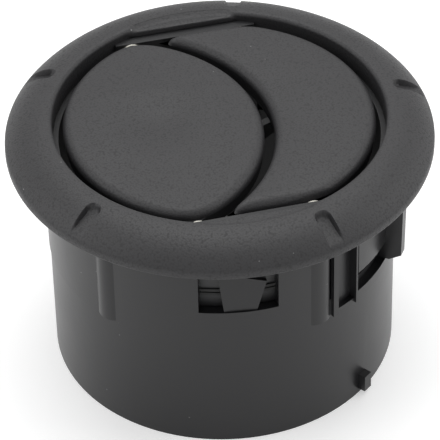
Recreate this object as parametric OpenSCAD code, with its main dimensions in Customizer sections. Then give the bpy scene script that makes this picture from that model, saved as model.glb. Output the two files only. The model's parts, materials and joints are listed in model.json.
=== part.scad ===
// Round dashboard air vent with two tilting flaps in a turning face.
// Millimetres, +Z points out of the face, the rear rim of the housing lies on z = 0.

/* [Housing] */
// Height of the housing from its rear rim to the top of its flange
housing_h = 55.4; // [54:0.2:62]
// Outer radius of the rear tube
tube_r = 39.4; // [38.6:0.1:40]
// Wall thickness of the rear tube
tube_wall = 1.8; // [1.5:0.1:2]
// Height at which the thicker mounting sleeve starts
sleeve_z = 29.5; // [27:0.5:30.5]
// Extra radius of the mounting sleeve
sleeve_step = 0.3; // [0.2:0.1:0.6]
// Reach of the flange past the rear tube
flange_reach = 6.1; // [4.6:0.1:6.6]
// Thickness of the flange
flange_t = 1.5; // [1.2:0.1:2]
// Thickness of the panel that the clips hold
panel_t = 2.5; // [1.5:0.1:3.5]

/* [Clips] */
// Height of the lower edge of each side window
side_window_z = 32; // [31:0.5:33]
// Height of the free end of each side finger
finger_z = 37.2; // [36:0.2:39]
// Reach of each hook past the mounting sleeve
hook_reach = 4.1; // [2.8:0.1:4.8]
// Thickness of each hook
hook_t = 2.4; // [1.6:0.1:3]
// Height of the lower edge of the front and back windows
tongue_window_z = 38.5; // [38:0.5:41]
// Outward lean of each tongue in degrees
tongue_lean = 8; // [4:1:10]
// Width of the key at the rear rim
key_w = 2.4; // [1.5:0.1:4]
// Height of the top of the key
key_top_z = 5.7; // [4:0.1:8]

/* [Bezel] */
// Reach of the bezel past the rear tube
bezel_reach = 8.6; // [8.2:0.1:10.6]
// Height of the upright band round the bezel
band_h = 2; // [1.6:0.1:3]
// Height of the crown above the band
crown_h = 5.2; // [4.8:0.1:6]
// Shell thickness of the bezel
bezel_shell = 2.1; // [1.8:0.1:2.2]
// Number of grip notches
notch_count = 5; // [3:1:8]
// Width of each grip notch
notch_w = 3.6; // [2.5:0.1:5]
// Depth of each grip notch at its inner end
notch_d = 1.3; // [0.6:0.1:1.4]
// Turn of the face about the vent axis at rest in degrees
face_turn = 13; // [0:1:30]

/* [Flaps] */
// Distance of each flap axis from the vent axis
axis_offset = 12.8; // [12:0.1:13.5]
// Gap between the flaps and the bezel
flap_gap = 2.3; // [2.1:0.1:2.8]
// Gap between the two flaps
flap_split = 2.3; // [2:0.1:3]
// Radius of the rounded flap edges
flap_edge_r = 2; // [1.4:0.1:2.1]
// Radius of the thumb dish
dish_r = 10.6; // [9:0.2:12]
// Depth of the thumb dish
dish_d = 1.3; // [0.8:0.1:1.4]
// Radius of the pivot pins
pin_r = 1.15; // [1:0.05:1.2]

/* [Link] */
// Distance from each flap axis to its crank pin
crank_r = 8; // [7:0.5:9]
// Width of the link rod
link_w = 2.8; // [2:0.1:3.2]
// Outer radius of the link eyes
link_eye_r = 2.7; // [2.4:0.1:3]

/* [Hidden] */
$fn = 96;
eps = 0.01;
// Reach of cutters past the faces that they open
over = 1;

// Fits and clearances
run_gap = 0.05;
press_gap = 0.02;
loose_gap = 0.15;
seat_gap = 0.1;
free_gap = 0.3;

// Housing
bore_r = tube_r - tube_wall;
sleeve_r = tube_r + sleeve_step;
flange_r = tube_r + flange_reach;
flange_z = housing_h - flange_t;
// Ring on the flange that the turning face runs on
land_h = 0.45;
land_r = sleeve_r + 0.5;
land_w = 2;
// Bead that the barrel's nose snaps under
bead_rise = 1.6;
bead_z = side_window_z + bead_rise;
bead_h = 1.4;
bead_d = 0.6;
rim_chamfer = 0.3;

// Seat of the air duct at the rear, with its stop
duct_seat_step = 0.4;
duct_seat_r = bore_r + duct_seat_step;
duct_seat_z = sleeve_z - 1.5;

// Rotor barrel
barrel_gap = 0.4;
barrel_wall = 1.2;
barrel_r = bore_r - barrel_gap;
barrel_in_r = barrel_r - barrel_wall;
guide_r = bore_r - run_gap;
nose_h = 1.5;
nose_top_z = bead_z - free_gap;
barrel_z = nose_top_z - nose_h;
neck_r = bore_r - bead_d - free_gap;
neck_top_z = bead_z + bead_h + free_gap;
guide_z = housing_h - 10;
guide_h = 7.6;
ring_below_guide = 3.6;
ring_z = guide_z - ring_below_guide;
ring_h = 1.8;
ring_depth = 0.5;
ridge_h = 0.7;
slot_count = 6;
slot_w = 3;
slot_below_ring = 1.6;
slot_top_z = ring_z - slot_below_ring;
rotor_flange_z = housing_h + land_h + run_gap;
rotor_flange_t = 1.4;
rotor_flange_top = rotor_flange_z + rotor_flange_t;

// Bezel
bezel_r = tube_r + bezel_reach;
opening_r = barrel_r;
bezel_z = housing_h + seat_gap;
band_top_z = bezel_z + band_h;
crown_z = band_top_z + crown_h;
apex_r = opening_r + 1.1;
lip_drop = 0.05;
crown_arc_r = (pow(bezel_r - apex_r, 2) + pow(crown_h, 2)) / (2 * crown_h);
crown_arc_z = crown_z - crown_arc_r;
lip_r = 1;
inner_wall = 1.8;
skirt_wall = 1.6;
web_v = sqrt(pow(opening_r, 2) - pow(axis_offset, 2));
web_t = 1.35;
web_drop = 0.7;
web_root = 0.6;
web_top_z = crown_z - web_drop;
web_z = web_top_z - web_t;
notch_in_r = opening_r + 5;
notch_from_r = notch_in_r - notch_w / 2;
notch_to_r = bezel_r - 0.7;
peg_r = 1.2;
peg_out = 0.6;
peg_ring_r = (opening_r + inner_wall + bezel_r - skirt_wall) / 2 + peg_out;
peg_top_z = crown_arc_z
  + sqrt(pow(crown_arc_r - bezel_shell / 2, 2) - pow(peg_ring_r - apex_r, 2));
peg_count = 5;
peg_turn = 36;

// Pivots
axis_rise = 0.5;
axis_z = band_top_z + axis_rise;
pin_head_r = pin_r + 0.6;
pin_head_t = 0.8;
bush_in_r = pin_r + run_gap;
bush_r = bush_in_r + 0.6;
bush_hole_r = bush_r + press_gap;
bush_flange_r = bush_r + 0.6;
bush_flange_t = 0.45;
boss_ledge = 2.3;
boss_depth = 5;
boss_side = 3.6;
flat_v = web_v - boss_ledge;
boss_out_v = flat_v + boss_depth;
boss_half_u = axis_offset + boss_side;
boss_top_z = web_z - loose_gap;
boss_bottom_z = guide_z + guide_h;
boss_reach_r = opening_r + 3.6;
pin_hold = 8;
pin_play = 0.2;
pin_in_v = flat_v - pin_hold;
pin_out_v = boss_out_v + pin_play;
head_pocket = 2.5;

// Flaps
flap_drop = 0.6;
flap_top_z = crown_z - flap_drop;
flap_r = opening_r - flap_gap;
flap_end_gap = 0.6;
flap_end_v = flat_v - flap_end_gap;
hub_wall = 0.75;
hub_r = pin_r + hub_wall;
hub_floor = 1.2;
parting_z = axis_z + hub_r;
cover_plate = 1.5;
cover_rim = 1.8;
tray_inset = 0.4;
tray_wall = 1.3;
tray_floor = 1.3;
tray_drop = 1.4;
tray_z = axis_z - tray_drop;
tray_top_z = parting_z - run_gap;
dish_ball_r = (pow(dish_r, 2) + pow(dish_d, 2)) / (2 * dish_d);
dish_margin = 0.8;
dish_pad_r = dish_r + dish_margin;
thumb_u = -axis_offset;
crescent_u = axis_offset;
mirror_u = -2 * axis_offset;
split_r = flap_r + flap_split;

// Link
crank_drop = crank_r * cos(45);
crank_pin_r = 1.5;
arm_t = 2;
arm_v = 1;
arm_end_r = 2.3;
arm_root_w = 4.6;
arm_sink = 0.5;
thumb_arm_u = thumb_u - 4;
crescent_arm_u = crescent_u + 0.4;
link_side_gap = 0.2;
link_v = arm_v - link_side_gap - link_w;
crank_pin_end = 0.4;
crank_pin_l = link_w + link_side_gap + crank_pin_end;
link_bar_h = 2.4;
link_z = axis_z - crank_drop;

// Clip windows, as degrees round the vent from +X
side_from = -42;
side_to = 6;
side_slot = 1;
side_slot_top_z = 45.5;
hook_at = -22;
hook_r = sleeve_r + hook_reach;
hook_root_r = bore_r + 0.4;
hook_top_z = flange_z - panel_t;
hook_low_z = side_window_z + 0.5;
hook_chamfer = 1.8;
hook_draft = 0.3;
hook_nose_r = sleeve_r + 1;
front_from = -98;
front_to = -72.5;
front_mid = -84.5;
front_top_z = flange_z - 0.9;
tongue_t = 1.5;
tongue_root_z = tongue_window_z - 0.6;
tongue_tall = front_top_z - tongue_root_z;
tongue_in_r = bore_r + 0.15;
// Sideways reach of the tongue's root, and of its corners as [sideways, height]
tongue_low = -3.7;
tongue_high = 3.4;
tongue_corner = [tongue_high + 2.4, tongue_tall * 0.5];
tongue_knee = [tongue_high - 1.7, tongue_tall * 0.57];
tongue_tip = [tongue_low - 1.4, tongue_tall * 0.79];
rib_rise = 0.8;
rib_low_z = sleeve_z + 0.4;
rib_curve_r = 4;
rib_a_at = -57.6;
rib_left_at = -130.6;
bar_rise = 0.7;
bar_from = [-53.2, -43.4];
bar_to = [-51.2, -42.6];
groove_from = -54.4;
groove_to = -53.4;
groove_low_z = 35;
groove_top_z = 49;
channel_from = -51.2;
channel_to = -43.4;
channel_low_z = 30.9;
channel_wall = 0.8;
key_at = -38.2;
key_low_z = 1.4;
key_rise = 1.9;

// Colours
housing_color = [0.10, 0.10, 0.11];
face_color = [0.14, 0.14, 0.15];
inner_color = [0.07, 0.07, 0.08];
steel_color = [0.62, 0.63, 0.65];
bush_color = [0.75, 0.74, 0.70];

// Ring sector between two azimuths
module sector(r_in, r_out, z_low, z_high, from, to) {
  rotate([0, 0, from])
    rotate_extrude(angle = to - from)
      translate([r_in, z_low])
        square([r_out - r_in, z_high - z_low]);
}

// Plain ring
module ring(r_in, r_out, z_low, z_high) {
  rotate_extrude()
    translate([r_in, z_low])
      square([r_out - r_in, z_high - z_low]);
}

// Cylinder along the flap axes, from v_low to v_high
module along_axis(u, z, r, v_low, v_high) {
  translate([u, v_low, z])
    rotate([-90, 0, 0])
      cylinder(r = r, h = v_high - v_low);
}

// Copies the children to both ends, front and back
module both_ends() {
  for (turn = [0, 180])
    rotate([0, 0, turn])
      children();
}

// Places the children in the turning face's own frame
module face() {
  rotate([0, 0, face_turn])
    children();
}

// Housing: rear tube with mounting sleeve, flange, clips, ribs and key
module tube_body() {
  cylinder(r = tube_r, h = housing_h);
  translate([0, 0, sleeve_z])
    cylinder(r = sleeve_r, h = housing_h - sleeve_z);
  translate([0, 0, flange_z])
    cylinder(r = flange_r, h = flange_t);
  ring(land_r, land_r + land_w, flange_z, housing_h + land_h);
}

module round_rib(at) {
  rotate([0, 0, at])
    translate([sleeve_r + rib_rise - rib_curve_r, 0, rib_low_z])
      cylinder(r = rib_curve_r, h = flange_z - rib_low_z + eps);
}

module side_ribs() {
  round_rib(rib_a_at);
  round_rib(rib_left_at);
  for (i = [0, 1])
    sector(bore_r - over, sleeve_r + bar_rise, rib_low_z, flange_z + eps, bar_from[i], bar_to[i]);
}

// Window with a slot up each side of the finger that hangs into it
module finger_window() {
  from = side_from + side_slot;
  to = side_to - side_slot;
  difference() {
    sector(bore_r - over, hook_r + over, side_window_z, side_slot_top_z, side_from, side_to);
    sector(bore_r - 2 * over, hook_r + 2 * over, finger_z, side_slot_top_z + over, from, to);
  }
}

module side_cuts() {
  finger_window();
  sector(bore_r - over, hook_r + over, groove_low_z, groove_top_z, groove_from, groove_to);
  sector(bore_r + channel_wall, hook_r, channel_low_z, flange_z, channel_from, channel_to);
  sector(bore_r - over, hook_r + over, tongue_window_z, front_top_z, front_from, front_to);
}

module side_hook() {
  rotate([0, 0, hook_at])
    translate([0, hook_t / 2, 0])
      rotate([90, 0, 0])
        linear_extrude(height = hook_t)
          polygon([
            [hook_root_r, hook_low_z],
            [hook_nose_r, hook_low_z],
            [hook_r - hook_draft, hook_low_z + hook_chamfer],
            [hook_r, hook_top_z],
            [hook_root_r, hook_top_z]]);
}

module front_tongue() {
  rotate([0, 0, front_mid])
    translate([tongue_in_r, 0, tongue_root_z])
      rotate([90, 0, 90])
        rotate([-tongue_lean, 0, 0])
          linear_extrude(height = tongue_t)
            polygon([
              [tongue_low, 0],
              [tongue_high, 0],
              tongue_corner,
              tongue_knee,
              tongue_tip]);
}

module rear_key() {
  rotate([0, 0, key_at])
    translate([tube_r - over, -key_w / 2, key_low_z])
      cube([over + key_rise, key_w, key_top_z - key_low_z]);
}

module housing() {
  color(housing_color)
    difference() {
      union() {
        difference() {
          union() {
            tube_body();
            both_ends()
              side_ribs();
            rear_key();
          }
          both_ends()
            side_cuts();
        }
        both_ends() {
          side_hook();
          front_tongue();
        }
      }
      translate([0, 0, -over])
        cylinder(r = duct_seat_r, h = duct_seat_z + over);
      translate([0, 0, duct_seat_z - eps])
        cylinder(r = bore_r, h = bead_z - duct_seat_z + eps);
      translate([0, 0, bead_z - eps])
        cylinder(r = bore_r - bead_d, h = bead_h + 2 * eps);
      translate([0, 0, bead_z + bead_h])
        cylinder(r = bore_r, h = housing_h);
      translate([0, 0, -eps])
        cylinder(r1 = duct_seat_r + rim_chamfer, r2 = duct_seat_r, h = rim_chamfer);
    }
}

// Rotor barrel: carries the bezel, both flaps and the friction ring
module barrel_solid() {
  translate([0, 0, barrel_z])
    cylinder(r = guide_r, h = nose_h);
  translate([0, 0, barrel_z])
    cylinder(r = neck_r, h = neck_top_z - barrel_z + eps);
  translate([0, 0, neck_top_z])
    cylinder(r = barrel_r, h = rotor_flange_top - neck_top_z);
  translate([0, 0, guide_z])
    cylinder(r = guide_r, h = guide_h);
  translate([0, 0, rotor_flange_z])
    cylinder(r = bezel_r - skirt_wall - seat_gap, h = rotor_flange_t);
}

module barrel_bosses() {
  intersection() {
    both_ends()
      translate([-boss_half_u, flat_v, boss_bottom_z])
        cube([2 * boss_half_u, boss_out_v - flat_v, boss_top_z - boss_bottom_z]);
    union() {
      translate([0, 0, boss_bottom_z])
        cylinder(r = barrel_r, h = rotor_flange_top - boss_bottom_z);
      translate([0, 0, rotor_flange_z])
        cylinder(r = boss_reach_r, h = boss_top_z - rotor_flange_z);
    }
  }
}

module barrel_holes() {
  both_ends()
    for (u = [thumb_u, crescent_u]) {
      along_axis(u, axis_z, bush_hole_r, flat_v - over, boss_out_v + over);
      along_axis(u, axis_z, pin_head_r + loose_gap, boss_out_v, boss_out_v + head_pocket);
    }
  for (i = [0 : slot_count - 1])
    rotate([0, 0, i * 360 / slot_count])
      translate([0, -slot_w / 2, barrel_z - over])
        cube([barrel_r + over, slot_w, slot_top_z - barrel_z + over]);
  for (i = [0 : peg_count - 1])
    rotate([0, 0, peg_turn + i * 360 / peg_count])
      translate([peg_ring_r, 0, rotor_flange_z - over])
        cylinder(r = peg_r + press_gap, h = rotor_flange_t + 2 * over);
}

module rotor_barrel() {
  color(inner_color)
    face()
      difference() {
        union() {
          difference() {
            barrel_solid();
            translate([0, 0, barrel_z - over])
              cylinder(r = barrel_in_r, h = rotor_flange_top - barrel_z + 2 * over);
          }
          barrel_bosses();
        }
        ring(barrel_r - ring_depth, bore_r, ring_z, ring_z + ring_h);
        barrel_holes();
      }
}

// Friction ring: soft ring in the barrel's groove with two ridges on the bore
module friction_ring() {
  groove_r = barrel_r - ring_depth;
  band_z = ring_z + press_gap;
  band_t = ring_h - 2 * press_gap;
  color(inner_color)
    rotate_extrude()
      union() {
        translate([groove_r + press_gap, band_z])
          square([ring_depth - press_gap, band_t]);
        translate([barrel_r - eps, band_z])
          square([guide_r - barrel_r + eps, ridge_h]);
        translate([barrel_r - eps, band_z + band_t - ridge_h])
          square([guide_r - barrel_r + eps, ridge_h]);
      }
}

// Height of the crown's surface at a radius
function crown_at(r) = crown_arc_z + sqrt(pow(crown_arc_r, 2) - pow(r - apex_r, 2));

// Bezel: grained shell with a convex top, two flat webs and grip notches
module bezel_outline() {
  difference() {
    intersection() {
      translate([apex_r, crown_arc_z])
        circle(r = crown_arc_r, $fn = 180);
      translate([opening_r, bezel_z])
        square([bezel_r - opening_r, crown_z]);
    }
    difference() {
      translate([opening_r - over, crown_z - lip_r - lip_drop])
        square([over + lip_r, over + lip_r]);
      translate([opening_r + lip_r, crown_z - lip_r - lip_drop])
        circle(r = lip_r);
    }
  }
}

module bezel_hollow() {
  from_r = opening_r + inner_wall;
  wide = bezel_r - skirt_wall - from_r;
  intersection() {
    translate([apex_r, crown_arc_z])
      circle(r = crown_arc_r - bezel_shell, $fn = 180);
    translate([from_r, bezel_z - over])
      square([wide, crown_z]);
  }
  translate([from_r, bezel_z - over])
    square([wide, rotor_flange_top + seat_gap - bezel_z + over]);
}

// Each notch has a round inner end and a floor that runs out to the rim
module grip_notches() {
  floor_slope = (crown_at(notch_to_r) - crown_at(notch_from_r) + notch_d)
    / (notch_to_r - notch_from_r);
  end_r = bezel_r + over;
  start_z = crown_at(notch_from_r) - notch_d;
  end_z = start_z + floor_slope * (end_r - notch_from_r);
  for (i = [0 : notch_count - 1])
    rotate([0, 0, i * 360 / notch_count])
      intersection() {
        translate([0, 0, bezel_z])
          union() {
            translate([notch_in_r, 0, 0])
              cylinder(r = notch_w / 2, h = crown_z);
            translate([notch_in_r, -notch_w / 2, 0])
              cube([end_r - notch_in_r, notch_w, crown_z]);
          }
        rotate_extrude()
          polygon([
            [notch_from_r - over, start_z - floor_slope * over],
            [end_r, end_z],
            [end_r, crown_z + over],
            [notch_from_r - over, crown_z + over]]);
      }
}

module bezel_webs() {
  intersection() {
    translate([0, 0, web_z])
      cylinder(r = opening_r + web_root, h = web_t);
    both_ends()
      translate([-bezel_r, web_v, web_z - over])
        cube([2 * bezel_r, bezel_r, web_t + 2 * over]);
  }
}

// Room in the bezel's inner wall for the barrel's bosses
module boss_pockets() {
  half_u = boss_half_u + free_gap;
  from_v = flat_v - over;
  both_ends()
    translate([-half_u, from_v, bezel_z - over])
      cube([2 * half_u, boss_out_v + free_gap - from_v, web_z - bezel_z + over]);
}

module bezel_ring() {
  color(face_color)
    face()
      difference() {
        union() {
          difference() {
            rotate_extrude()
              difference() {
                bezel_outline();
                bezel_hollow();
              }
            boss_pockets();
            translate([0, 0, bezel_z - over])
              cylinder(r = opening_r + inner_wall + eps, h = rotor_flange_top + seat_gap - bezel_z + over);
          }
          bezel_webs();
          for (i = [0 : peg_count - 1])
            rotate([0, 0, peg_turn + i * 360 / peg_count])
              translate([peg_ring_r, 0, rotor_flange_z + seat_gap])
                cylinder(r = peg_r, h = peg_top_z - rotor_flange_z - seat_gap);
        }
        grip_notches();
      }
}

// Disc with a rounded upper edge
module soft_disc(r, z_low, z_high) {
  rotate_extrude($fn = 180)
    union() {
      translate([0, z_low])
        square([r - flap_edge_r, z_high - z_low]);
      translate([0, z_low])
        square([r, z_high - z_low - flap_edge_r]);
      intersection() {
        translate([r - flap_edge_r, z_high - flap_edge_r])
          circle(r = flap_edge_r);
        translate([0, z_low])
          square([r + over, z_high]);
      }
    }
}

// Cutter whose upper edge flares out by the same rounding
module soft_cutter(r, z_low, z_high) {
  rotate_extrude($fn = 180)
    difference() {
      translate([0, z_low - over])
        square([r + flap_edge_r, z_high - z_low + 2 * over]);
      translate([r, z_low - 2 * over])
        square([flap_edge_r + over, z_high - z_low - flap_edge_r + 2 * over]);
      translate([r + flap_edge_r, z_high - flap_edge_r])
        circle(r = flap_edge_r);
    }
}

// Slab along the flap axes with rounded upper ends
module soft_slab(half_v, z_low, z_high) {
  translate([-bezel_r, 0, 0])
    rotate([90, 0, 90])
      linear_extrude(height = 2 * bezel_r)
        union() {
          translate([-half_v + flap_edge_r, z_low])
            square([2 * (half_v - flap_edge_r), z_high - z_low]);
          translate([-half_v, z_low])
            square([2 * half_v, z_high - z_low - flap_edge_r]);
          for (side = [-1, 1])
            translate([side * (half_v - flap_edge_r), z_high - flap_edge_r])
              circle(r = flap_edge_r);
        }
}

// Plain flap outlines, each inset by the same distance
module lens(inset, z_low, z_high) {
  intersection() {
    translate([0, 0, z_low])
      cylinder(r = flap_r - inset, h = z_high - z_low, $fn = 180);
    translate([mirror_u, 0, z_low])
      cylinder(r = flap_r - inset, h = z_high - z_low, $fn = 180);
    translate([-bezel_r, -flap_end_v + inset, z_low - over])
      cube([2 * bezel_r, 2 * (flap_end_v - inset), z_high - z_low + 2 * over]);
  }
}

module crescent(inset, z_low, z_high) {
  difference() {
    intersection() {
      translate([0, 0, z_low])
        cylinder(r = flap_r - inset, h = z_high - z_low, $fn = 180);
      translate([-bezel_r, -flap_end_v + inset, z_low - over])
        cube([2 * bezel_r, 2 * (flap_end_v - inset), z_high - z_low + 2 * over]);
    }
    translate([mirror_u, 0, z_low - over])
      cylinder(r = split_r + inset, h = z_high - z_low + 2 * over, $fn = 180);
  }
}

// Thumb flap: lens-shaped cover with a dish over a tray that holds the pins
module thumb_flap_cover() {
  color(face_color)
    face()
      difference() {
        intersection() {
          soft_disc(flap_r, parting_z, flap_top_z);
          translate([mirror_u, 0, 0])
            soft_disc(flap_r, parting_z, flap_top_z);
          soft_slab(flap_end_v, parting_z, flap_top_z);
        }
        difference() {
          lens(cover_rim, parting_z - over, flap_top_z - cover_plate);
          translate([thumb_u, 0, parting_z - 2 * over])
            cylinder(r = dish_pad_r, h = flap_top_z);
        }
        translate([thumb_u, 0, flap_top_z - dish_d + dish_ball_r])
          sphere(r = dish_ball_r, $fn = 160);
      }
}

// Crank arm from a tray's floor to its crank pin
module crank_arm(root_u, pin_u) {
  root_mid = root_u + arm_root_w / 2;
  run_u = pin_u - root_mid;
  run_z = link_z - tray_z;
  run = sqrt(run_u * run_u + run_z * run_z);
  side_u = -run_z / run * arm_end_r;
  side_z = run_u / run * arm_end_r;
  translate([0, arm_v + arm_t, 0])
    rotate([90, 0, 0])
      linear_extrude(height = arm_t)
        polygon([
          [root_u, tray_z + arm_sink],
          [root_u + arm_root_w, tray_z + arm_sink],
          [pin_u + side_u, link_z + side_z],
          [pin_u - side_u, link_z - side_z]]);
  along_axis(pin_u, link_z, arm_end_r, arm_v, arm_v + arm_t);
  along_axis(pin_u, link_z, crank_pin_r, arm_v - crank_pin_l, arm_v + eps);
}

// Round hubs at both ends of a flap, and the blind bores for its pins
module flap_hubs(u) {
  for (side = [0, 1])
    mirror([0, side, 0])
      intersection() {
        along_axis(u, axis_z, hub_r, pin_in_v - hub_floor, flap_end_v - seat_gap);
        translate([-bezel_r, 0, 0])
          cube([2 * bezel_r, bezel_r, tray_top_z]);
      }
}

module hub_bores(u) {
  for (side = [0, 1])
    mirror([0, side, 0])
      along_axis(u, axis_z, pin_r + press_gap, pin_in_v, bezel_r);
}

module thumb_flap_base() {
  color(inner_color)
    face()
      difference() {
        union() {
          difference() {
            lens(tray_inset, tray_z, tray_top_z);
            lens(tray_inset + tray_wall, tray_z + tray_floor, tray_top_z + over);
          }
          flap_hubs(thumb_u);
          crank_arm(thumb_arm_u, thumb_u - crank_drop);
        }
        hub_bores(thumb_u);
      }
}

// Crescent flap: cover and tray round the thumb flap's right edge
module crescent_flap_cover() {
  color(face_color)
    face()
      difference() {
        intersection() {
          soft_disc(flap_r, parting_z, flap_top_z);
          soft_slab(flap_end_v, parting_z, flap_top_z);
        }
        translate([mirror_u, 0, 0])
          soft_cutter(split_r, parting_z, flap_top_z);
        crescent(cover_rim, parting_z - over, flap_top_z - cover_plate);
      }
}

module crescent_flap_base() {
  color(inner_color)
    face()
      difference() {
        union() {
          difference() {
            crescent(tray_inset, tray_z, tray_top_z);
            crescent(tray_inset + tray_wall, tray_z + tray_floor, tray_top_z + over);
          }
          flap_hubs(crescent_u);
          crank_arm(crescent_arm_u, crescent_u - crank_drop);
        }
        hub_bores(crescent_u);
      }
}

// Pivot pin, pushed in from outside the barrel; side is -1 in front and 1 at the back
module pivot_pin(u, side) {
  color(steel_color)
    face()
      mirror([0, side < 0 ? 1 : 0, 0]) {
        along_axis(u, axis_z, pin_r, pin_in_v + pin_play, pin_out_v + eps);
        along_axis(u, axis_z, pin_head_r, pin_out_v, pin_out_v + pin_head_t);
      }
}

module pivot_bush(u, side) {
  color(bush_color)
    face()
      mirror([0, side < 0 ? 1 : 0, 0])
        difference() {
          union() {
            along_axis(u, axis_z, bush_r, flat_v - eps, boss_out_v);
            along_axis(u, axis_z, bush_flange_r, flat_v - bush_flange_t, flat_v);
          }
          along_axis(u, axis_z, bush_in_r, flat_v - over, boss_out_v + over);
        }
}

// Link rod that couples the two crank pins
module link_rod() {
  from_u = thumb_u - crank_drop;
  to_u = crescent_u - crank_drop;
  color(inner_color)
    face()
      difference() {
        union() {
          along_axis(from_u, link_z, link_eye_r, link_v, link_v + link_w);
          along_axis(to_u, link_z, link_eye_r, link_v, link_v + link_w);
          translate([from_u, link_v, link_z - link_bar_h / 2])
            cube([to_u - from_u, link_w, link_bar_h]);
        }
        along_axis(from_u, link_z, crank_pin_r + run_gap, link_v - over, link_v + link_w + over);
        along_axis(to_u, link_z, crank_pin_r + loose_gap, link_v - over, link_v + link_w + over);
      }
}

housing();
rotor_barrel();
friction_ring();
bezel_ring();
thumb_flap_cover();
thumb_flap_base();
pivot_pin(thumb_u, -1);  // thumb_pin_front
pivot_pin(thumb_u, 1);  // thumb_pin_back
pivot_bush(thumb_u, -1);  // thumb_bush_front
pivot_bush(thumb_u, 1);  // thumb_bush_back
crescent_flap_cover();
crescent_flap_base();
pivot_pin(crescent_u, -1);  // crescent_pin_front
pivot_pin(crescent_u, 1);  // crescent_pin_back
pivot_bush(crescent_u, -1);  // crescent_bush_front
pivot_bush(crescent_u, 1);  // crescent_bush_back
link_rod();
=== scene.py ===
import json
import math

import bmesh
import bpy
from bpy.props import FloatProperty, FloatVectorProperty, IntProperty, PointerProperty
from mathutils import Matrix, Vector


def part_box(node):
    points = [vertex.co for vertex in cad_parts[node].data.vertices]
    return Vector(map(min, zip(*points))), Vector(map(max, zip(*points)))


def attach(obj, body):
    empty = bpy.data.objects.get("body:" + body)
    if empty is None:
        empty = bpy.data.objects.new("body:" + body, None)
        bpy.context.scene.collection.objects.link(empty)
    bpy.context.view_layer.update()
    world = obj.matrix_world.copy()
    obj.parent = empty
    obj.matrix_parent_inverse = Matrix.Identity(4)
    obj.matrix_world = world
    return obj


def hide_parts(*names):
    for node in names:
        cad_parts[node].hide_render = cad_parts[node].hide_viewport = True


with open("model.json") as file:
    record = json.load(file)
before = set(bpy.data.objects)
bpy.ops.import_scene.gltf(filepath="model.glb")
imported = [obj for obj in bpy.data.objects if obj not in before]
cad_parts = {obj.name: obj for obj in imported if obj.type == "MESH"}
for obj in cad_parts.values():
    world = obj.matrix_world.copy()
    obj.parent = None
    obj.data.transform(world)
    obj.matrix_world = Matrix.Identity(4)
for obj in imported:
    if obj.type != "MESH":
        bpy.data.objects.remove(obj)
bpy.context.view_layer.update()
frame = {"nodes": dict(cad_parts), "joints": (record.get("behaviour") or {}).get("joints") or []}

bl_info = {
    "name": "Dashboard Air Vent",
    "version": (1, 0, 0),
    "blender": (4, 5, 0),
    "location": "View3D > Sidebar > Air Vent",
    "description": "Builds the surfaces, finishes and stage of a round dashboard air vent",
    "category": "Object",
}

MM = 0.001
JOINTS = {joint["name"]: joint for joint in frame["joints"]}
THUMB_PIVOT = Vector(JOINTS["thumb_tilt"]["pos_m"])
PIVOT_AXIS = Vector(JOINTS["thumb_tilt"]["axis"])
FACE_TURN = math.atan2(PIVOT_AXIS.x, -PIVOT_AXIS.y)
AXIS_OFFSET = THUMB_PIVOT.xy.length
BEZEL_LOW, BEZEL_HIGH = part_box("bezel_ring")
COVER_LOW, COVER_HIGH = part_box("thumb_flap_cover")


def length(label, description, value):
    """A property for a length in metres."""
    return FloatProperty(name=label, description=description, default=value,
                         subtype="DISTANCE", unit="LENGTH", precision=4)


def colour(label, description, value):
    """A property for a linear colour."""
    return FloatVectorProperty(name=label, description=description, default=value,
                               subtype="COLOR", size=3, min=0.0, max=1.0)


class VentSizes(bpy.types.PropertyGroup):
    """Sizes of the surfaces that stand for the plain solids"""
    opening_radius: length("Opening radius", "Radius of the opening in the bezel", 37.2 * MM)
    band_height: length("Band height", "Height of the upright band round the bezel", 2.0 * MM)
    crown_inset: length("Crown inset", "Distance from the opening to the crown's top", 1.1 * MM)
    lip_radius: length("Lip radius", "Rounding of the opening's upper edge", 1.0 * MM)
    shell: length("Shell thickness", "Wall thickness of the bezel", 1.6 * MM)
    web_drop: length("Web drop", "Depth of the webs below the crown's top", 0.7 * MM)
    web_thickness: length("Web thickness", "Thickness of the webs", 1.35 * MM)
    notch_width: length("Notch width", "Width of each grip notch", 3.6 * MM)
    notch_depth: length("Notch depth", "Depth of a grip notch at its inner end", 1.3 * MM)
    notch_count: IntProperty(name="Notches", description="Number of grip notches", default=5, min=3, max=8)
    flap_gap: length("Flap gap", "Gap between the flaps and the bezel", 2.3 * MM)
    flap_split: length("Flap split", "Gap between the two flaps", 2.3 * MM)
    flap_reach: length("Flap reach", "Half length of the flaps along their axes", 32.0 * MM)
    edge_radius: length("Edge radius", "Rounding of the flaps' upper edges", 2.2 * MM)
    flap_dome: length("Flap dome", "Rise of each flap towards its middle", 0.8 * MM)
    dish_radius: length("Dish radius", "Radius of the thumb dish with its soft rim", 12.5 * MM)
    dish_depth: length("Dish depth", "Depth of the thumb dish", 1.5 * MM)


class VentFinish(bpy.types.PropertyGroup):
    """Colours and grain of the vent's materials"""
    face_colour: colour("Face", "Colour of the grained face", (0.020, 0.0195, 0.021))
    housing_colour: colour("Housing", "Colour of the smooth housing", (0.010, 0.010, 0.011))
    inner_colour: colour("Inner parts", "Colour of the barrel, trays and link", (0.008, 0.008, 0.009))
    steel_colour: colour("Pins", "Colour of the steel pins", (0.56, 0.57, 0.59))
    bush_colour: colour("Bushes", "Colour of the bushes", (0.62, 0.60, 0.54))
    grain_size: length("Grain size", "Size of one pebble of the face's grain", 0.42 * MM)


def sizes():
    return bpy.context.scene.vent_sizes


def finish_values():
    return bpy.context.scene.vent_finish


# Shaped meshes

def smoothstep(low, high, value):
    """0 below low, 1 above high, with a soft rise between."""
    t = min(max((value - low) / (high - low), 0.0), 1.0)
    return t * t * (3.0 - 2.0 * t)


def lerp(a, b, t):
    return a + (b - a) * t


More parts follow.
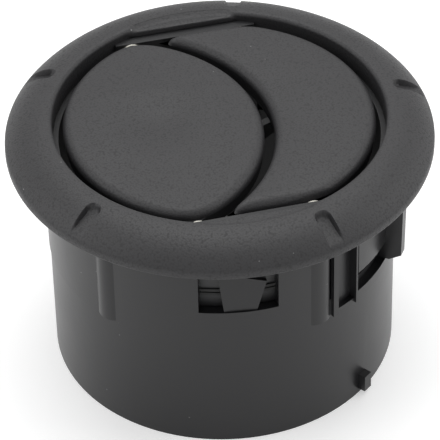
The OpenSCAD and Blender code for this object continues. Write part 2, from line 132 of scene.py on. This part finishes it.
def arc_points(centre, radius, start, end, count):
    """Points (r, z) on an arc, from start to end in degrees."""
    points = []
    for i in range(count + 1):
        angle = math.radians(lerp(start, end, i / count))
        points.append((centre[0] + radius * math.cos(angle), centre[1] + radius * math.sin(angle)))
    return points


def finish_mesh(name, bm, material, body, node, sharp=40.0):
    """Turns the face frame's mesh into place, parents it to its body's empty and hides the CAD node it stands for."""
    bmesh.ops.remove_doubles(bm, verts=bm.verts[:], dist=1e-7)
    bmesh.ops.recalc_face_normals(bm, faces=bm.faces[:])
    bmesh.ops.rotate(bm, verts=bm.verts[:], cent=(0, 0, 0), matrix=Matrix.Rotation(FACE_TURN, 3, "Z"))
    mesh = bpy.data.meshes.new(name)
    bm.to_mesh(mesh)
    bm.free()
    mesh.polygons.foreach_set("use_smooth", [True] * len(mesh.polygons))
    mesh.set_sharp_from_angle(angle=math.radians(sharp))
    mesh.materials.append(material)
    piece = bpy.data.objects.new(name, mesh)
    bpy.context.scene.collection.objects.link(piece)
    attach(piece, body)
    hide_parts(node)
    return piece


# Bezel

class Crown:
    """The bezel's convex section, as radii and heights."""

    def __init__(self, s):
        self.outer = BEZEL_HIGH.x
        self.low = BEZEL_LOW.z
        self.top = BEZEL_HIGH.z
        self.band_top = self.low + s.band_height
        self.apex = s.opening_radius + s.crown_inset
        rise = self.top - self.band_top
        self.radius = ((self.outer - self.apex) ** 2 + rise ** 2) / (2 * rise)
        self.centre = self.top - self.radius

    def height(self, r):
        return self.centre + math.sqrt(max(self.radius ** 2 - (r - self.apex) ** 2, 0.0))


def bezel_profile(s, crown):
    """Closed section of the bezel: each row is a name and its radius and height."""
    opening = s.opening_radius
    lip_z = crown.top - s.lip_radius
    rows = [("wall", opening, crown.low + 1.9 * MM), ("under", opening, lip_z - 1.1 * MM),
            ("web_low", opening, lip_z - 1.0 * MM), ("web_side", opening, lip_z - 0.4 * MM)]
    lip = arc_points((opening + s.lip_radius, lip_z), s.lip_radius, 180, 92, 9)
    rows += [("lip", r, z) for r, z in lip]
    r = opening + s.lip_radius + 0.3 * MM
    rim = crown.outer - 0.5 * MM
    while r < rim:
        rows.append(("crown", r, crown.height(r)))
        fine = opening + 2.6 * MM < r < opening + 5.2 * MM
        r += (0.2 if fine else 0.42) * MM
    rows += [("rim", crown.outer - 0.42 * MM, crown.height(crown.outer - 0.42 * MM)),
             ("rim", crown.outer - 0.2 * MM, crown.height(crown.outer - 0.3 * MM) - 0.12 * MM),
             ("rim", crown.outer - 0.05 * MM, crown.band_top - 0.1 * MM),
             ("band", crown.outer, crown.band_top - 0.5 * MM),
             ("band", crown.outer, crown.low + 0.35 * MM),
             ("band", crown.outer - 0.1 * MM, crown.low + 0.1 * MM),
             ("band", crown.outer - 0.35 * MM, crown.low),
             ("inside", crown.outer - s.shell, crown.low),
             ("inside", crown.outer - s.shell, crown.low + 1.9 * MM)]
    inner = crown.radius - 2.1 * MM
    for i in range(9):
        r = lerp(crown.outer - 3.0 * MM, opening + 1.8 * MM, i / 8)
        z = crown.centre + math.sqrt(inner ** 2 - (r - crown.apex) ** 2)
        rows.append(("inside", r, z))
    rows.append(("inside", opening + 1.8 * MM, crown.low + 1.9 * MM))
    return rows


NOTCH_OFFSETS = [0.0, 0.5, 1.0, 1.35, 1.55, 1.7, 1.8, 1.9, 2.0, 2.15, 2.4, 2.9, 3.6, 4.6]
GAP_STEPS = 46


def column_angle(index, r, count):
    """Angle of a column of the bezel at radius r: columns run straight beside the notches."""
    reach = len(NOTCH_OFFSETS) - 1
    per_notch = 2 * reach + GAP_STEPS
    notch, step = divmod(index, per_notch)
    pitch = 2 * math.pi / count
    edge = math.asin(NOTCH_OFFSETS[-1] * MM / r)
    if step <= 2 * reach:
        offset = step - reach
        side = math.copysign(NOTCH_OFFSETS[abs(offset)] * MM, offset)
        return notch * pitch + math.asin(side / r)
    return notch * pitch + lerp(edge, pitch - edge, (step - 2 * reach) / GAP_STEPS)


def notch_depth(s, crown, r, side):
    """How far the grip notch cuts the crown at radius r, sideways from the notch's middle."""
    half = s.notch_width / 2
    end = s.opening_radius + 5.0 * MM
    start_r = end - half
    out_r = crown.outer - 0.7 * MM
    if r > out_r + 0.3 * MM:
        return 0.0
    outside = abs(side) - half if r > end else math.hypot(side, r - end) - half
    start_z = crown.height(start_r) - s.notch_depth
    floor_z = lerp(start_z, crown.height(out_r), (r - start_r) / (out_r - start_r))
    deep = max(crown.height(r) - floor_z, 0.0)
    return deep * (1.0 - smoothstep(-0.28 * MM, 0.12 * MM, outside))


def shape_bezel(bm, s, crown, rows, columns):
    """Moves the spun rings into the notches and the webs."""
    chord = math.sqrt(s.opening_radius ** 2 - AXIS_OFFSET ** 2)
    corner = math.acos(chord / s.opening_radius)
    web_z = crown.top - s.web_drop
    pitch = 2 * math.pi / s.notch_count
    lip_rows = [i for i, row in enumerate(rows) if row[0] == "lip"]
    for vert in bm.verts:
        row, column = vert[bm.verts.layers.int["row"]], vert[bm.verts.layers.int["column"]]
        kind, r, z = rows[row]
        angle = column_angle(column, r, s.notch_count)
        from_web = abs(math.remainder(angle - math.pi / 2, math.pi))
        if kind != "inside" and from_web < corner:
            chord_r = chord / math.cos(from_web)
            blend = smoothstep(0.0, 0.7 * MM, s.opening_radius - chord_r)
            if kind == "web_low":
                r, z = chord_r, lerp(z, web_z - s.web_thickness, blend)
            elif kind == "web_side":
                r, z = chord_r, lerp(z, web_z - 0.3 * MM, blend)
            elif kind == "under":
                z = lerp(z, web_z - s.web_thickness, blend)
            elif kind == "lip":
                along = (row - lip_rows[0]) / (len(lip_rows) - 1)
                flat_r = lerp(chord_r + 0.1 * MM, s.opening_radius + 1.3 * MM, along ** 1.3)
                rise = smoothstep(s.opening_radius - 0.1 * MM, s.opening_radius + 1.6 * MM, flat_r)
                edge = 0.12 * MM * (1.0 - smoothstep(0.0, 0.3, along))
                r = lerp(r, flat_r, blend)
                z = lerp(z, lerp(web_z - edge, crown.top, rise), blend)
        if kind == "crown":
            side = r * math.sin(math.remainder(angle, pitch))
            z -= notch_depth(s, crown, r, side)
        vert.co = (r * math.cos(angle), r * math.sin(angle), z)


def build_bezel(material):
    s = sizes()
    crown = Crown(s)
    rows = bezel_profile(s, crown)
    columns = s.notch_count * (2 * (len(NOTCH_OFFSETS) - 1) + GAP_STEPS)
    bm = bmesh.new()
    row_layer = bm.verts.layers.int.new("row")
    column_layer = bm.verts.layers.int.new("column")
    ring = []
    for i, (_, r, z) in enumerate(rows):
        vert = bm.verts.new((r, 0.0, z))
        vert[row_layer] = i
        ring.append(vert)
    for a, b in zip(ring, ring[1:] + ring[:1]):
        bm.edges.new((a, b))
    bmesh.ops.spin(bm, geom=bm.verts[:] + bm.edges[:], cent=(0, 0, 0), axis=(0, 0, 1),
                   angle=2 * math.pi, steps=columns, use_merge=True)
    step = 2 * math.pi / columns
    for vert in bm.verts:
        vert[column_layer] = round((math.atan2(vert.co.y, vert.co.x) % (2 * math.pi)) / step) % columns
    shape_bezel(bm, s, crown, rows, columns)
    return finish_mesh("turning_bezel", bm, material, "rotor", "bezel_ring", 50.0)


# Flaps

def lens_outline(s, angle):
    """Distance from the thumb flap's middle to its edge, with softened tips."""
    flap_r = s.opening_radius - s.flap_gap
    c, d = AXIS_OFFSET, abs(math.cos(angle))
    side = -c * d + math.sqrt(flap_r ** 2 - (c * math.sin(angle)) ** 2)
    other = c * d + math.sqrt(flap_r ** 2 - (c * math.sin(angle)) ** 2)
    end = s.flap_reach / max(abs(math.sin(angle)), 1e-6)
    sharpness = 34.0
    total = side ** -sharpness + other ** -sharpness + end ** -sharpness
    return total ** (-1.0 / sharpness)


def edge_rings(s, low, steps=9):
    """Insets and heights up a flap's side and over its rounded edge."""
    top = COVER_HIGH.z
    rings = [(0.0, low), (0.0, lerp(low, top - s.edge_radius, 0.5))]
    for i in range(steps + 1):
        angle = math.pi / 2 * i / steps
        rings.append((s.edge_radius * (1 - math.cos(angle)), top - s.edge_radius * (1 - math.sin(angle))))
    return rings


def dish_drop(s, u, v):
    """Depth of the thumb dish at a place on the flap."""
    away = math.hypot(u + AXIS_OFFSET + 1.0 * MM, v - 1.0 * MM) / s.dish_radius
    if away >= 1.0:
        return 0.0
    return s.dish_depth * (0.5 + 0.5 * math.cos(math.pi * away)) ** 0.9


LENS_STEPS = 192
LENS_RINGS = 36


def build_thumb_flap(material):
    """A disc spun round the flap's middle, then drawn out to the lens."""
    s = sizes()
    rings = edge_rings(s, COVER_LOW.z)
    count = len(rings) + LENS_RINGS
    bm = bmesh.new()
    verts = [bm.verts.new(((i + 0.0) / count, 0, 0)) for i in range(count + 1)]
    for a, b in zip(verts, verts[1:]):
        bm.edges.new((a, b))
    bmesh.ops.spin(bm, geom=bm.verts[:] + bm.edges[:], cent=(0, 0, 0), axis=(0, 0, 1),
                   angle=2 * math.pi, steps=LENS_STEPS, use_merge=True)
    bmesh.ops.remove_doubles(bm, verts=bm.verts[:], dist=1e-6)
    for vert in bm.verts:
        index = round(vert.co.xy.length * count)
        angle = math.atan2(vert.co.y, vert.co.x)
        edge = outline_point(s, angle, 0.0)
        if index > LENS_RINGS:
            inset, z = rings[count - index]
            place = outline_point(s, angle, inset)
            z_extra = 0.0
        else:
            share = index / (LENS_RINGS + 0.0)
            inner = outline_point(s, angle, rings[-1][0])
            place = inner * share
            z = rings[-1][1]
            z_extra = s.flap_dome * (1.0 - share ** 2)
        u, v = place.x - AXIS_OFFSET, place.y
        vert.co = (u, v, z + z_extra - (dish_drop(s, u, v) if index <= LENS_RINGS else 0.0))
    cap_edges = [edge for edge in bm.edges if edge.is_boundary]
    bmesh.ops.contextual_create(bm, geom=cap_edges)
    return finish_mesh("thumb_flap_skin", bm, material, "thumb_flap", "thumb_flap_cover")


def outline_point(s, angle, inset):
    """Point on the lens outline seen from its middle, moved in along the outline's normal."""
    step = 1e-3
    r = lens_outline(s, angle)
    slope = (lens_outline(s, angle + step) - lens_outline(s, angle - step)) / (2 * step)
    out = Vector((math.cos(angle), math.sin(angle)))
    side = Vector((-math.sin(angle), math.cos(angle)))
    normal = (out * r - side * slope).normalized()
    return out * r - normal * inset


def build_crescent_flap(material):
    """A grid drawn between the crescent's two arcs."""
    s = sizes()
    flap_r = s.opening_radius - s.flap_gap
    split_r = flap_r + s.flap_split
    rings = edge_rings(s, COVER_LOW.z)
    insets = rings[1:]
    across, along = 26, 84
    bm = bmesh.new()
    columns = 2 * len(insets) + across - 1
    rows = 2 * len(insets) + along - 1
    bmesh.ops.create_grid(bm, x_segments=columns - 1, y_segments=rows - 1, size=1.0)
    top_z = rings[-1][1]

    def split(index, total):
        """Inset from the near edge, the edge's side, and the share of the middle stretch."""
        if index < len(insets):
            return insets[index], -1, 0.0
        if index >= total - len(insets):
            return insets[total - 1 - index], 1, 1.0
        return insets[-1], 0, (index - len(insets) + 1) / (total - 2 * len(insets) + 1)

    for vert in bm.verts:
        column = round((vert.co.x + 1) / 2 * (columns - 1))
        row = round((vert.co.y + 1) / 2 * (rows - 1))
        (inset_u, _), side_u, share_u = split(column, columns)
        (inset_v, _), side_v, share_v = split(row, rows)
        reach = s.flap_reach - s.edge_radius
        if side_v:
            v = side_v * (s.flap_reach - inset_v)
        else:
            v = lerp(-reach, reach, share_v)
        left = -2 * AXIS_OFFSET + math.sqrt((split_r + (inset_u if side_u < 0 else s.edge_radius)) ** 2 - v * v)
        right = math.sqrt((flap_r - (inset_u if side_u > 0 else s.edge_radius)) ** 2 - v * v)
        if side_u < 0:
            u = left
        elif side_u > 0:
            u = right
        else:
            u = lerp(left, right, share_u)
        off_u = s.edge_radius - inset_u if side_u else 0.0
        off_v = s.edge_radius - inset_v if side_v else 0.0
        off = min(math.hypot(off_u, off_v), s.edge_radius)
        z = top_z - s.edge_radius + math.sqrt(max(s.edge_radius ** 2 - off ** 2, 0.0))
        if side_u and column in (0, columns - 1) or side_v and row in (0, rows - 1):
            z = lerp(COVER_LOW.z, top_z - s.edge_radius, 0.5)
        middle = (1 - (2 * share_u - 1) ** 2) * (1 - (v / s.flap_reach) ** 2)
        vert.co = (u, v, z + s.flap_dome * middle)
    rim = [edge for edge in bm.edges if edge.is_boundary]
    drawn = bmesh.ops.extrude_edge_only(bm, edges=rim)["geom"]
    for item in drawn:
        if isinstance(item, bmesh.types.BMVert):
            item.co.z = COVER_LOW.z
    bmesh.ops.contextual_create(bm, geom=[edge for edge in bm.edges if edge.is_boundary])
    return finish_mesh("crescent_flap_skin", bm, material, "crescent_flap", "crescent_flap_cover")


# Materials

def new_group(name, inputs, outputs):
    """An empty shader group with named sockets, and its two ends."""
    group = bpy.data.node_groups.new(name, "ShaderNodeTree")
    for label, kind, value in inputs:
        socket = group.interface.new_socket(label, in_out="INPUT", socket_type=kind)
        if value is not None:
            socket.default_value = value
    for label, kind in outputs:
        group.interface.new_socket(label, in_out="OUTPUT", socket_type=kind)
    return group, group.nodes.new("NodeGroupInput"), group.nodes.new("NodeGroupOutput")


def add(tree, kind, links=(), **values):
    """A node with its settings and its input values or links."""
    node = tree.nodes.new(kind)
    for name, value in values.items():
        setattr(node, name, value)
    for socket, source in links:
        if hasattr(source, "links"):
            tree.links.new(source, node.inputs[socket])
        else:
            node.inputs[socket].default_value = source
    return node


def math_node(tree, operation, *operands):
    node = add(tree, "ShaderNodeMath", operation=operation)
    for socket, operand in zip(node.inputs, operands):
        if hasattr(operand, "links"):
            tree.links.new(operand, socket)
        else:
            socket.default_value = operand
    return node.outputs[0]


def pebble_grain_group():
    """Moulded leather-like grain: rounded pebbles with fine noise over them."""
    group, given, out = new_group(
        "pebble_grain",
        [("Vector", "NodeSocketVector", None), ("Scale", "NodeSocketFloat", 2400.0),
         ("Fine", "NodeSocketFloat", 0.35)],
        [("Height", "NodeSocketFloat"), ("Pits", "NodeSocketFloat")])
    bend = add(group, "ShaderNodeTexNoise", [("Vector", given.outputs["Vector"]), ("Scale", 900.0), ("Detail", 1.0)])
    shift = add(group, "ShaderNodeVectorMath", [(0, bend.outputs["Color"]), (1, (0.00025, 0.00025, 0.00025))],
                operation="MULTIPLY")
    place = add(group, "ShaderNodeVectorMath", [(0, given.outputs["Vector"]), (1, shift.outputs[0])], operation="ADD")
    cells = add(group, "ShaderNodeTexVoronoi", [("Vector", place.outputs[0]), ("Scale", given.outputs["Scale"]),
                                                ("Smoothness", 0.6)], feature="SMOOTH_F1")
    noise = add(group, "ShaderNodeTexNoise", [("Vector", given.outputs["Vector"]), ("Scale", 5200.0), ("Detail", 2.0)])
    dome = math_node(group, "SUBTRACT", 1.0, cells.outputs["Distance"])
    fine = math_node(group, "MULTIPLY", noise.outputs["Fac"], given.outputs["Fine"])
    group.links.new(math_node(group, "ADD", dome, fine), out.inputs["Height"])
    pits = add(group, "ShaderNodeMapRange", [("Value", cells.outputs["Distance"]), ("From Min", 0.45),
                                             ("From Max", 0.8)])
    group.links.new(pits.outputs[0], out.inputs["Pits"])
    return group


def speck_group():
    """Sparse bright dust specks and soft clouding, both as masks."""
    group, given, out = new_group(
        "specks",
        [("Vector", "NodeSocketVector", None), ("Spread", "NodeSocketFloat", 260.0),
         ("Size", "NodeSocketFloat", 0.06)],
        [("Specks", "NodeSocketFloat"), ("Clouds", "NodeSocketFloat")])
    dots = add(group, "ShaderNodeTexVoronoi", [("Vector", given.outputs["Vector"]),
                                               ("Scale", given.outputs["Spread"])], feature="F1")
    inside = math_node(group, "LESS_THAN", dots.outputs["Distance"], given.outputs["Size"])
    shade = add(group, "ShaderNodeSeparateColor", [("Color", dots.outputs["Color"])])
    chosen = math_node(group, "GREATER_THAN", shade.outputs[0], 0.72)
    group.links.new(math_node(group, "MULTIPLY", inside, chosen), out.inputs["Specks"])
    clouds = add(group, "ShaderNodeTexNoise", [("Vector", given.outputs["Vector"]), ("Scale", 60.0), ("Detail", 3.0)])
    group.links.new(clouds.outputs["Fac"], out.inputs["Clouds"])
    return group


GROUPS = {}


def group_node(tree, name, maker, links):
    if name not in GROUPS:
        GROUPS[name] = maker()
    node = add(tree, "ShaderNodeGroup", node_tree=GROUPS[name])
    for socket, source in links:
        if hasattr(source, "links"):
            tree.links.new(source, node.inputs[socket])
        else:
            node.inputs[socket].default_value = source
    return node


def new_material(name):
    """A material with only its shader and its object coordinates."""
    material = bpy.data.materials.new(name)
    material.use_nodes = True
    tree = material.node_tree
    shader = tree.nodes["Principled BSDF"]
    place = tree.nodes.new("ShaderNodeTexCoord").outputs["Object"]
    return material, tree, shader, place


def mixed(tree, factor, first, second):
    """A colour between two, by a mask."""
    node = add(tree, "ShaderNodeMix", data_type="RGBA")
    tree.links.new(factor, node.inputs["Factor"])
    for socket, value in (("A", first), ("B", second)):
        socket = [i for i in node.inputs if i.name == socket and i.type == "RGBA"][0]
        if hasattr(value, "links"):
            tree.links.new(value, socket)
        else:
            socket.default_value = (*value, 1.0)
    return [o for o in node.outputs if o.type == "RGBA"][0]


def ranged(tree, value, low, high):
    """A value from 0 to 1 brought between two numbers."""
    node = add(tree, "ShaderNodeMapRange", [("To Min", low), ("To Max", high)])
    tree.links.new(value, node.inputs["Value"])
    return node.outputs[0]


def grained_plastic():
    values = finish_values()
    material, tree, shader, place = new_material("grained_plastic")
    grain = group_node(tree, "pebble_grain", pebble_grain_group,
                       [("Vector", place), ("Scale", 1.0 / values.grain_size)])
    specks = group_node(tree, "specks", speck_group, [("Vector", place), ("Size", 0.05)])
    base = tuple(values.face_colour)
    worn = mixed(tree, specks.outputs["Clouds"], [c * 0.8 for c in base], [c * 1.2 for c in base])
    # painted shade: the grain's pits are darkened to 0.6 of the face colour, standing in for the shade between the
    # pebbles
    painted_pit_shade = mixed(tree, grain.outputs["Pits"], worn, [c * 0.6 for c in base])
    tree.links.new(mixed(tree, specks.outputs["Specks"], painted_pit_shade, (0.16, 0.16, 0.16)), shader.inputs["Base Color"])
    tree.links.new(ranged(tree, grain.outputs["Pits"], 0.50, 0.62), shader.inputs["Roughness"])
    shader.inputs["Specular IOR Level"].default_value = 0.42
    bump = add(tree, "ShaderNodeBump", [("Strength", 0.5), ("Distance", 0.00008), ("Height", grain.outputs["Height"])])
    tree.links.new(bump.outputs[0], shader.inputs["Normal"])
    return material


def housing_plastic():
    values = finish_values()
    material, tree, shader, place = new_material("housing_plastic")
    specks = group_node(tree, "specks", speck_group, [("Vector", place), ("Size", 0.045)])
    base = tuple(values.housing_colour)
    clouded = mixed(tree, specks.outputs["Clouds"], [c * 0.85 for c in base], [c * 1.15 for c in base])
    tree.links.new(mixed(tree, specks.outputs["Specks"], clouded, (0.12, 0.12, 0.12)), shader.inputs["Base Color"])
    tree.links.new(ranged(tree, specks.outputs["Clouds"], 0.30, 0.38), shader.inputs["Roughness"])
    shader.inputs["Specular IOR Level"].default_value = 0.4
    ripple = add(tree, "ShaderNodeTexNoise", [("Vector", place), ("Scale", 700.0), ("Detail", 3.0)])
    bump = add(tree, "ShaderNodeBump", [("Strength", 0.25), ("Distance", 0.00004), ("Height", ripple.outputs["Fac"])])
    tree.links.new(bump.outputs[0], shader.inputs["Normal"])
    return material


def plain_plastic(name, base, roughness):
    """Ungrained moulding with slight clouding."""
    material, tree, shader, place = new_material(name)
    specks = group_node(tree, "specks", speck_group, [("Vector", place), ("Size", 0.03)])
    clouded = mixed(tree, specks.outputs["Clouds"], [c * 0.8 for c in base], [c * 1.2 for c in base])
    tree.links.new(clouded, shader.inputs["Base Color"])
    tree.links.new(ranged(tree, specks.outputs["Clouds"], roughness - 0.05, roughness + 0.05),
                   shader.inputs["Roughness"])
    ripple = add(tree, "ShaderNodeTexNoise", [("Vector", place), ("Scale", 1500.0), ("Detail", 2.0)])
    bump = add(tree, "ShaderNodeBump", [("Strength", 0.2), ("Distance", 0.00003), ("Height", ripple.outputs["Fac"])])
    tree.links.new(bump.outputs[0], shader.inputs["Normal"])
    return material


def drawn_steel():
    values = finish_values()
    material, tree, shader, place = new_material("drawn_steel")
    stretch = add(tree, "ShaderNodeMapping", [("Vector", place), ("Scale", (1.0, 0.05, 1.0))])
    lines = add(tree, "ShaderNodeTexNoise", [("Vector", stretch.outputs[0]), ("Scale", 6000.0), ("Detail", 2.0)])
    base = tuple(values.steel_colour)
    tree.links.new(mixed(tree, lines.outputs["Fac"], [c * 0.8 for c in base], base), shader.inputs["Base Color"])
    tree.links.new(ranged(tree, lines.outputs["Fac"], 0.22, 0.38), shader.inputs["Roughness"])
    shader.inputs["Metallic"].default_value = 1.0
    return material


def dress(node, material):
    """Gives a CAD node its finish."""
    slots = frame["nodes"][node].data.materials
    slots.clear()
    slots.append(material)


# Stage

PHOTO_WIDTH = 440
SENSOR = 36.0
FOCAL_PIXELS = 2911.0
CENTRE_PIXEL = (219.5, 130.6)
CAMERA_DISTANCE = 650 * MM
CAMERA_ELEVATION = 38.7
CAMERA_ROLL = -1.41
AIM_HEIGHT = 57.5 * MM


def build_camera():
    """Camera at the photograph's angle, aimed at the face and shifted down the frame."""
    camera = bpy.data.objects.new("camera", bpy.data.cameras.new("camera"))
    bpy.context.scene.collection.objects.link(camera)
    camera.data.sensor_width = SENSOR
    camera.data.lens = FOCAL_PIXELS * SENSOR / PHOTO_WIDTH
    camera.data.shift_x = (PHOTO_WIDTH / 2 - CENTRE_PIXEL[0]) / PHOTO_WIDTH
    camera.data.shift_y = (CENTRE_PIXEL[1] - PHOTO_WIDTH / 2) / PHOTO_WIDTH
    elevation = math.radians(CAMERA_ELEVATION)
    aim = Vector((0, 0, AIM_HEIGHT))
    camera.location = aim + CAMERA_DISTANCE * Vector((0, -math.cos(elevation), math.sin(elevation)))
    turned = (aim - camera.location).to_track_quat("-Z", "Y").to_matrix()
    camera.rotation_euler = (turned @ Matrix.Rotation(math.radians(CAMERA_ROLL), 3, "Z")).to_euler()
    camera.data.clip_start = 0.01
    camera.data.clip_end = 10.0
    bpy.context.scene.camera = camera


def seen_directly(tree):
    """1 for rays from the camera, off gloss or through glass, else 0."""
    path = add(tree, "ShaderNodeLightPath").outputs
    either = math_node(tree, "MAXIMUM", path["Is Camera Ray"], path["Is Glossy Ray"])
    return math_node(tree, "MAXIMUM", either, path["Is Transmission Ray"])


def build_floor():
    bm = bmesh.new()
    bmesh.ops.create_grid(bm, x_segments=1, y_segments=1, size=2.0)
    mesh = bpy.data.meshes.new("floor")
    bm.to_mesh(mesh)
    bm.free()
    material, tree, shader, _ = new_material("pale_floor")
    shader.inputs["Base Color"].default_value = (0.86, 0.86, 0.86, 1.0)
    shader.inputs["Roughness"].default_value = 0.9
    shader.inputs["Specular IOR Level"].default_value = 0.0
    glow = add(tree, "ShaderNodeEmission", [("Strength", 0.34)])
    keep = add(tree, "ShaderNodeAddShader")
    tree.links.new(shader.outputs[0], keep.inputs[0])
    tree.links.new(glow.outputs[0], keep.inputs[1])
    choose = add(tree, "ShaderNodeMixShader")
    tree.links.new(seen_directly(tree), choose.inputs[0])
    tree.links.new(shader.outputs[0], choose.inputs[1])
    tree.links.new(keep.outputs[0], choose.inputs[2])
    tree.links.new(choose.outputs[0], tree.nodes["Material Output"].inputs["Surface"])
    mesh.materials.append(material)
    floor = bpy.data.objects.new("floor", mesh)
    bpy.context.scene.collection.objects.link(floor)


def build_world():
    world = bpy.data.worlds.new("soft_white")
    world.use_nodes = True
    tree = world.node_tree
    background = tree.nodes["Background"]
    level = ranged(tree, seen_directly(tree), 0.55, 1.0)
    tree.links.new(level, background.inputs["Strength"])
    background.inputs["Color"].default_value = (1.0, 1.0, 1.0, 1.0)
    bpy.context.scene.world = world


def add_lamp(name, place, size, power, aim=(0, 0, 0.04)):
    """A soft square lamp aimed at the vent."""
    lamp = bpy.data.objects.new(name, bpy.data.lights.new(name, "AREA"))
    lamp.data.size = size
    lamp.data.energy = power
    lamp.location = place
    lamp.rotation_euler = (Vector(aim) - lamp.location).to_track_quat("-Z", "Y").to_euler()
    bpy.context.scene.collection.objects.link(lamp)


# Operators

class VENT_OT_bezel(bpy.types.Operator):
    """Build the grained bezel with its notches and webs"""
    bl_idname = "vent.bezel"
    bl_label = "Bezel"

    def execute(self, context):
        build_bezel(MATERIALS["face"]())
        return {"FINISHED"}


class VENT_OT_flaps(bpy.types.Operator):
    """Build the thumb flap and the crescent flap"""
    bl_idname = "vent.flaps"
    bl_label = "Flaps"

    def execute(self, context):
        material = MATERIALS["face"]()
        build_thumb_flap(material)
        build_crescent_flap(material)
        return {"FINISHED"}


class VENT_OT_housing(bpy.types.Operator):
    """Finish the housing"""
    bl_idname = "vent.housing"
    bl_label = "Housing"

    def execute(self, context):
        dress("housing", MATERIALS["housing"]())
        return {"FINISHED"}


class VENT_OT_inner_parts(bpy.types.Operator):
    """Finish the barrel, trays, link, pins, bushes and friction ring"""
    bl_idname = "vent.inner_parts"
    bl_label = "Inner Parts"

    def execute(self, context):
        values = finish_values()
        plastic = plain_plastic("inner_plastic", tuple(values.inner_colour), 0.5)
        rubber = plain_plastic("ring_rubber", (0.012, 0.012, 0.012), 0.75)
        bushing = plain_plastic("bush_plastic", tuple(values.bush_colour), 0.4)
        steel = drawn_steel()
        for node in ("rotor_barrel", "thumb_flap_base", "crescent_flap_base", "link_rod"):
            dress(node, plastic)
        dress("friction_ring", rubber)
        for node in frame["nodes"]:
            if "_pin_" in node:
                dress(node, steel)
            if "_bush_" in node:
                dress(node, bushing)
        return {"FINISHED"}


class VENT_OT_stage(bpy.types.Operator):
    """Build the floor, world, lamps and camera"""
    bl_idname = "vent.stage"
    bl_label = "Stage"

    def execute(self, context):
        build_world()
        build_floor()
        build_camera()
        add_lamp("top_lamp", (0.0, 0.25, 0.9), 0.8, 5.0)
        add_lamp("left_lamp", (-0.8, -0.1, 0.5), 0.6, 2.0)
        add_lamp("right_lamp", (0.8, 0.1, 0.5), 0.6, 2.0)
        bpy.context.scene.view_settings.view_transform = "Standard"
        return {"FINISHED"}


MATERIALS = {}


def shared(key, maker):
    """A material that is made on first use."""
    made = []

    def get():
        if not made:
            made.append(maker())
        return made[0]
    MATERIALS[key] = get


shared("face", grained_plastic)
shared("housing", housing_plastic)


class VENT_PT_panel(bpy.types.Panel):
    """Lists the vent's operators and sizes"""
    bl_label = "Air Vent"
    bl_idname = "VENT_PT_panel"
    bl_space_type = "VIEW_3D"
    bl_region_type = "UI"
    bl_category = "Air Vent"

    def draw(self, context):
        for operator in OPERATORS:
            self.layout.operator(operator.bl_idname)
        for group, owner in ((VentSizes, context.scene.vent_sizes), (VentFinish, context.scene.vent_finish)):
            for name in group.__annotations__:
                self.layout.prop(owner, name)


OPERATORS = (VENT_OT_bezel, VENT_OT_flaps, VENT_OT_housing, VENT_OT_inner_parts, VENT_OT_stage)
CLASSES = (VentSizes, VentFinish, *OPERATORS, VENT_PT_panel)


def register():
    for item in CLASSES:
        bpy.utils.register_class(item)
    bpy.types.Scene.vent_sizes = PointerProperty(type=VentSizes)
    bpy.types.Scene.vent_finish = PointerProperty(type=VentFinish)


def unregister():
    del bpy.types.Scene.vent_finish
    del bpy.types.Scene.vent_sizes
    for item in reversed(CLASSES):
        bpy.utils.unregister_class(item)


def main():
    register()
    bpy.ops.vent.bezel()
    bpy.ops.vent.flaps()
    bpy.ops.vent.housing()
    bpy.ops.vent.inner_parts()
    bpy.ops.vent.stage()


if __name__ == "__main__":
    main()
